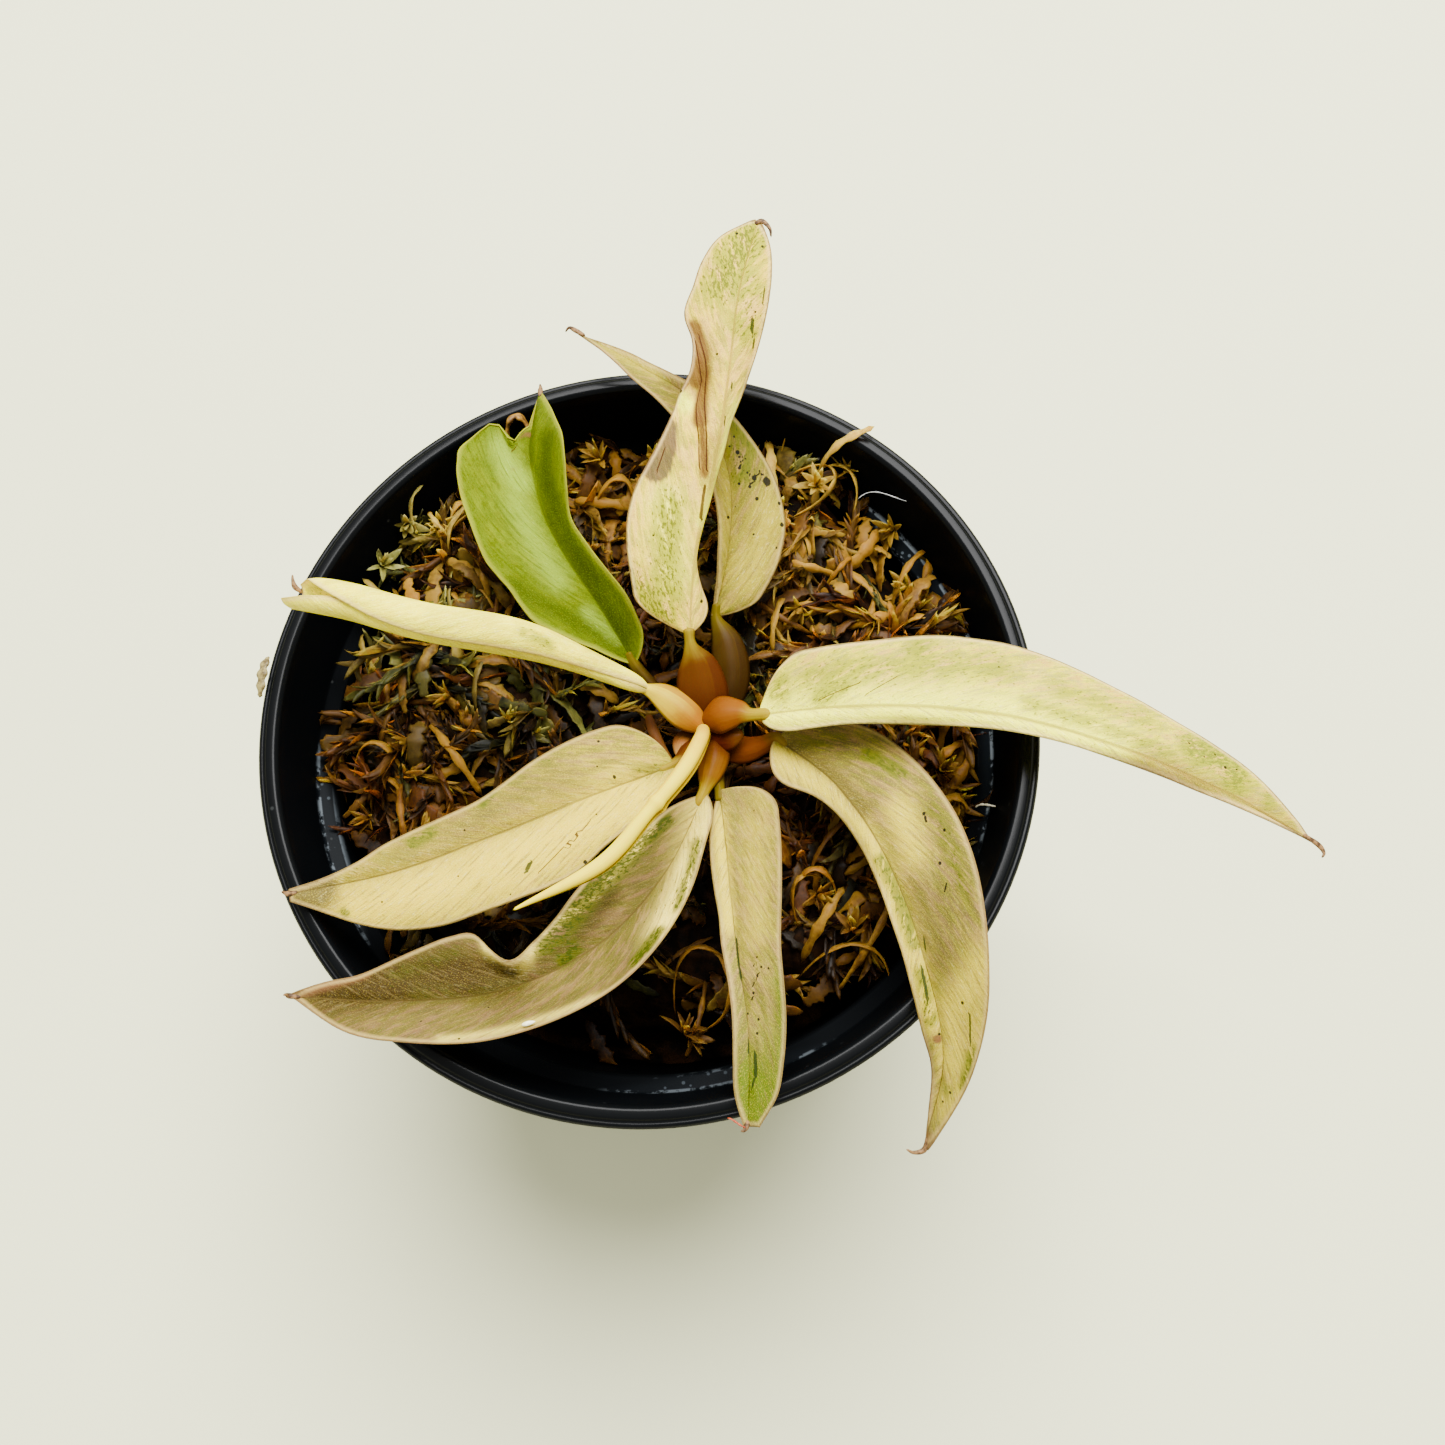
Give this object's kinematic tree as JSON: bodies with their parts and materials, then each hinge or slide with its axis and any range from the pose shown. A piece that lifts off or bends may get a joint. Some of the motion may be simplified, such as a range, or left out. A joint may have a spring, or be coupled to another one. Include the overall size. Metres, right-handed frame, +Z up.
{
  "type": "potted variegated caramel marble philodendron",
  "caption": "Small climbing foliage plant with narrow cream and yellow-green marbled leaves, rooted in sphagnum moss in a round black nursery pot.",
  "frame": {"origin": "centre of the pot's underside", "axes": "+Z up out of the pot, +X towards the tip of the longest leaf"},
  "size_m": [0.1338, 0.1137, 0.0981],
  "materials": {
    "pot_plastic": "black, half gloss",
    "moss": "damp sphagnum moss, matte",
    "stem": "smooth orange-brown stalk",
    "spear": "smooth yellow new leaf",
    "leaf_cream": "cream leaf, satin",
    "leaf_buff": "buff leaf, satin",
    "leaf_green": "yellow-green leaf, half gloss",
    "leaf_pale_yellow": "pale yellow rolled leaf, satin"
  },
  "bodies": {
    "root": {"pot": "pot_plastic", "moss": "moss", "stem": "stem", "spear": "spear", "leaf_east": "leaf_cream", "leaf_southeast": "leaf_buff", "leaf_south": "leaf_buff", "leaf_southwest_lower": "leaf_buff", "leaf_southwest_upper": "leaf_buff", "leaf_green": "leaf_green", "leaf_north_back": "leaf_buff", "leaf_north": "leaf_cream", "leaf_west": "leaf_pale_yellow"}
  },
  "joints": []
}
